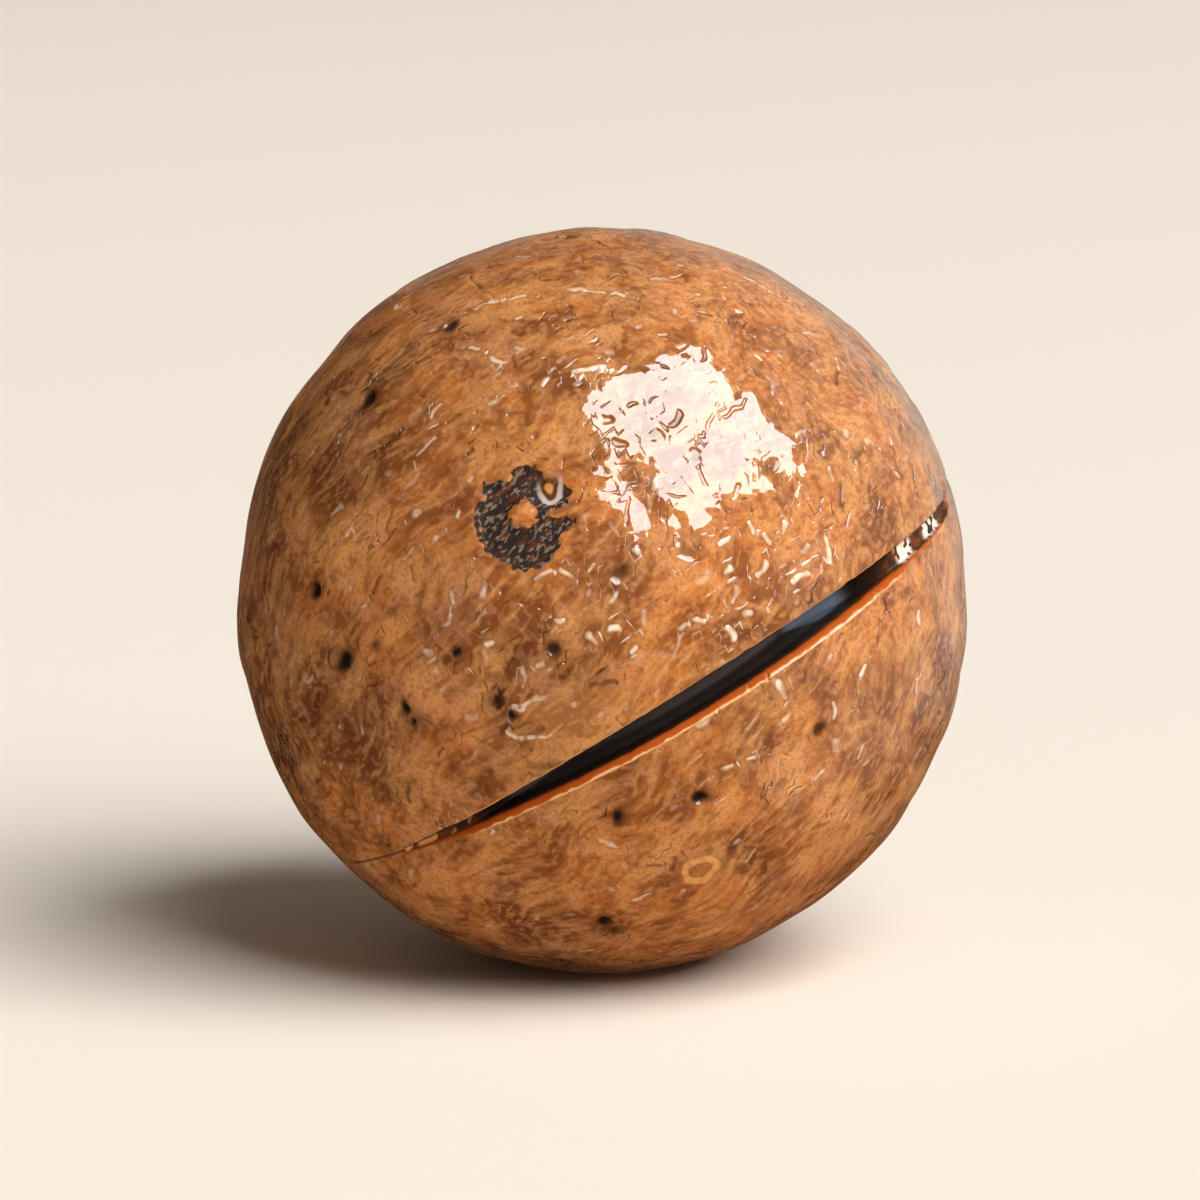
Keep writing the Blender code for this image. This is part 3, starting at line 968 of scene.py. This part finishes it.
def cut_colour(graph, shared, depth, share, side):
    """The cut shell: pale at its lips, partly a painted highlight, orange below them, brown and then black
    deep inside as painted shade, a painted sheen on the deep floor, and its two shallow ends.
    """
    cut_depth = graph.math("ADD", depth, graph.span(shared.streak, 0.3, 0.7, -CUT_STRAY, CUT_STRAY))
    cut = CUT_PALE
    # Painted shade: the cut turns brown and then black with depth
    for tint, start, end in CUT_COLOUR_AND_SHADE:
        cut = graph.tint(cut, tint, cut_depth, start, end)
    # Painted reflection: a pale blue-grey sheen on part of the deep floor
    sheen = graph.mix(graph.near(share, PAINTED_SHEEN_SHARE, PAINTED_SHEEN_REACH), CUT_DEEP, CUT_PAINTED_SHEEN)
    cut = graph.tint(cut, sheen, cut_depth, *DEEP_FLOOR_AND_SHEEN_DEPTH)

    # Left groove: tan remains with a dark dot, between a dark line, painted shadow along its upper side, and
    # an orange one
    remains = graph.tint(CUT_BROWN, TAN, shared.streak, 0.42, 0.56)
    remains = graph.mix(graph.near(share, DOT_SHARE, DOT_REACH), remains, CUT_BLACK)
    # Painted shadow along the groove's upper side
    remains = graph.tint(remains, CUT_BLACK, side, -0.8, -0.2, 1, 0)
    remains = graph.tint(remains, CUT_ORANGE, side, 0.7, 1.1)
    cut = graph.tint(cut, remains, share, *LEFT_GROOVE)

    # Right groove: dark, as painted shade in the narrow groove, with two pale chips, and orange at its lower
    # lip
    # Painted shade: the groove's dark ground
    chipped = graph.tint(CUT_BLACK, CUT_BROWN, shared.streak, 0.44, 0.60)
    for chip_share, chip_reach in CHIPS:
        chip = graph.math("MULTIPLY", graph.near(share, chip_share, chip_reach), graph.near(side, 0.0, 1.0))
        chip = graph.math("MULTIPLY", chip, graph.span(shared.fine, 0.40, 0.48))
        chipped = graph.mix(chip, chipped, CHIP_PALE)
    chipped = graph.tint(chipped, CUT_ORANGE, side, 1.0, 1.3)
    return graph.tint(cut, chipped, share, *RIGHT_GROOVE)


def with_hairline(graph, ground, share, side):
    """The hairline that runs on from the slit's left end and fades."""
    start = graph.span(share, *HAIRLINE_START)
    fade = graph.span(share, *HAIRLINE_FADE, 0.75, 0)
    hairline = graph.math("MULTIPLY", graph.near(side, 0.0, HAIRLINE_HALF), start)
    return graph.mix(graph.math("MULTIPLY", hairline, fade), ground, CUT_BLACK)


def facet_height(graph, shared):
    """The height of each facet's tilt, in millimetres."""
    tilt = graph.vector_math("SUBTRACT", shared.facet.outputs["Color"], (0.5, 0.5, 0.5))
    offset = graph.vector_math("SUBTRACT", shared.ragged, shared.facet.outputs["Position"])
    return graph.math("MULTIPLY", graph.vector_math("DOT_PRODUCT", offset, tilt), FACET_TILT)


def make_shell_material(middle):
    """Glossy mottled brown with a grain, pale fibres that are partly painted glints, pits, the scar and the
    cut shell in the slit, with painted shade and a painted sheen inside it.
    """
    graph = Graph(bpy.data.materials.new("nut_shell"))
    shared = Patterns(graph)
    sockets = graph.shader.inputs

    # Colour
    ground = mottled_ground(graph, shared)
    ground = with_long_flake(graph, shared, ground, middle)
    ground = with_tan_ring(graph, shared, ground, middle)
    ground, fibre, pit, groove = with_marks(graph, shared, ground)
    stray = graph.span(shared.fine, 0.3, 0.7, -STAIN_STRAY, STAIN_STRAY)
    inside = graph.math("ADD", graph.attribute("scar"), stray)
    ground = with_scar(graph, shared, ground, inside)
    ground = with_eye(graph, shared, ground, middle)
    depth = graph.attribute("kerf")
    share, side, _ = graph.split(graph.attribute("kerf_place", "Vector"))
    cut = cut_colour(graph, shared, depth, share, side)
    ground = with_hairline(graph, ground, share, side)
    in_cut = graph.span(depth, *CUT_EDGE)
    graph.feed(sockets["Base Color"], graph.mix(in_cut, ground, cut))

    # Gloss
    scarred = graph.span(inside, *STAIN_DULL)
    dull = graph.math("MAXIMUM", pit, scarred)
    dull = graph.math("MAXIMUM", graph.math("MULTIPLY", in_cut, CUT_DULL), dull)
    graph.feed(sockets["Roughness"], graph.span(shared.grit, 0.3, 0.7, *ROUGHNESS))
    sockets["Specular IOR Level"].default_value = SPECULAR
    graph.feed(sockets["Coat Weight"], graph.span(dull, 0.0, 1.0, 1.0, 0.0))
    sockets["Coat Roughness"].default_value = COAT_ROUGHNESS
    sockets["Coat IOR"].default_value = COAT_IOR

    # Relief
    height = facet_height(graph, shared)
    for pattern, rise in (
        (shared.fine, FINE_HEIGHT),
        (fibre, FIBRE_HEIGHT),
        (pit, PIT_HEIGHT),
        (groove, GROOVE_HEIGHT),
    ):
        height = graph.math("ADD", height, graph.math("MULTIPLY", pattern, rise))
    bump = graph.nodes.new("ShaderNodeBump")
    bump.inputs["Strength"].default_value = 1.0
    bump.inputs["Distance"].default_value = 1 / MM
    graph.feed(bump.inputs["Height"], height)
    for socket in ("Normal", "Coat Normal"):
        graph.feed(sockets[socket], bump.outputs["Normal"])
    return graph.owner


# Floor
FLOOR_PALE = colour(234, 224, 211)
FLOOR_ROUGHNESS = 0.9
FLOOR_SPECULAR = 0.2
FLOOR_SIDE = 6.0

# Camera: a lens and sensor in millimetres, and the share of the frame that the nut fills
LENS = 200
SENSOR = 36
NUT_SHARE = 0.62
NEAREST = 0.01

# Softboxes: the ways to them as seen from the front, their distance and size, and their powers
KEY_DIRECTION = (0.53, 0.65, 0.54)
WINDOW_DIRECTION = (0.425, 0.730, 0.540)
KEY_DISTANCE = 2.4
KEY_SIZE = (2.16, 1.84)
KEY_POWER = 96.0
SHINE_POWER = 190.0

# Surrounding: what the camera and soft light see, and what the gloss sees, which is pale at the right and
# behind, brown elsewhere and darker low down
BACKDROP = colour(244, 234, 220)
WORLD_STRENGTH = 0.15
GLOSS_BROWN = colour(214, 140, 92)
GLOSS_WAY = (0.85, 0.45, -0.10)
GLOSS_SPAN = (-0.1, 0.9)
GLOSS_STRENGTHS = (0.06, 0.80)
SHADE_WAY = (0.0, -0.6, 1.0)
SHADE_SPAN = (-0.95, -0.60)
SHADE_SHARE = 0.2


def make_floor():
    """A plain pale floor at the height that the nut rests on."""
    graph = Graph(bpy.data.materials.new("floor"))
    graph.shader.inputs["Base Color"].default_value = FLOOR_PALE
    graph.shader.inputs["Roughness"].default_value = FLOOR_ROUGHNESS
    graph.shader.inputs["Specular IOR Level"].default_value = FLOOR_SPECULAR
    half = FLOOR_SIDE / 2
    corners = [(-half, -half, 0), (half, -half, 0), (half, half, 0), (-half, half, 0)]
    mesh = bpy.data.meshes.new("floor")
    mesh.from_pydata(corners, [], [(0, 1, 2, 3)])
    mesh.materials.append(graph.owner)
    floor = bpy.data.objects.new("floor", mesh)
    floor.visible_glossy = False
    bpy.context.scene.collection.objects.link(floor)


def make_softbox(name, power, direction, centre):
    """A large rectangular light above the right of the nut, turned to it."""
    light = bpy.data.lights.new(name, "AREA")
    light.shape = "RECTANGLE"
    light.size, light.size_y = KEY_SIZE
    light.energy = power
    softbox = bpy.data.objects.new(name, light)
    way = from_face(*direction).normalized()
    softbox.location = centre + way * KEY_DISTANCE
    softbox.rotation_euler = way.to_track_quat("Z", "Y").to_euler()
    bpy.context.scene.collection.objects.link(softbox)
    return softbox


def make_light(centre):
    """A large soft key without gloss, a window beside it that gives only gloss, and a pale surrounding."""
    key = make_softbox("key", KEY_POWER, KEY_DIRECTION, centre)
    key.visible_glossy = False
    window = make_softbox("window", SHINE_POWER, WINDOW_DIRECTION, centre)
    window.visible_diffuse = False
    graph = Graph(bpy.data.worlds.new("studio"), "Background")
    ray = graph.nodes.new("ShaderNodeLightPath").outputs
    way = graph.nodes.new("ShaderNodeTexCoord").outputs["Generated"]
    low, high = GLOSS_STRENGTHS
    in_gloss = graph.span(graph.vector_math("DOT_PRODUCT", way, GLOSS_WAY), *GLOSS_SPAN, low, high)
    shade = graph.span(graph.vector_math("DOT_PRODUCT", way, SHADE_WAY), *SHADE_SPAN, SHADE_SHARE, 1.0)
    in_gloss = graph.math("MULTIPLY", in_gloss, shade)
    gloss_colour = graph.tint(GLOSS_BROWN, BACKDROP, in_gloss, low, high)
    graph.feed(graph.shader.inputs["Color"], graph.mix(ray["Is Glossy Ray"], BACKDROP, gloss_colour))
    strength = graph.span(ray["Is Glossy Ray"], 0, 1, WORLD_STRENGTH, in_gloss)
    graph.feed(graph.shader.inputs["Strength"], graph.span(ray["Is Camera Ray"], 0, 1, strength, 1.0))
    bpy.context.scene.world = graph.owner


def make_camera(centre):
    """A long lens that looks straight at the sawn face, with the nut in the middle of a square frame."""
    camera = bpy.data.cameras.new("camera")
    camera.lens = LENS
    camera.sensor_width = SENSOR
    camera.clip_start = NEAREST
    eye = bpy.data.objects.new("camera", camera)
    distance = NUT_HEIGHT / NUT_SHARE * LENS / SENSOR
    way = from_face(0, 0, 1)
    eye.location = centre + way * distance
    eye.rotation_euler = way.to_track_quat("Z", "Y").to_euler()
    bpy.context.scene.collection.objects.link(eye)
    bpy.context.scene.camera = eye


def main():
    shell, centre = make_shell()
    shell.data.materials.append(make_shell_material(centre))
    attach(shell, "root")
    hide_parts("nut")
    make_floor()
    make_light(centre)
    make_camera(centre)
    bpy.context.scene.view_settings.view_transform = "Standard"


main()
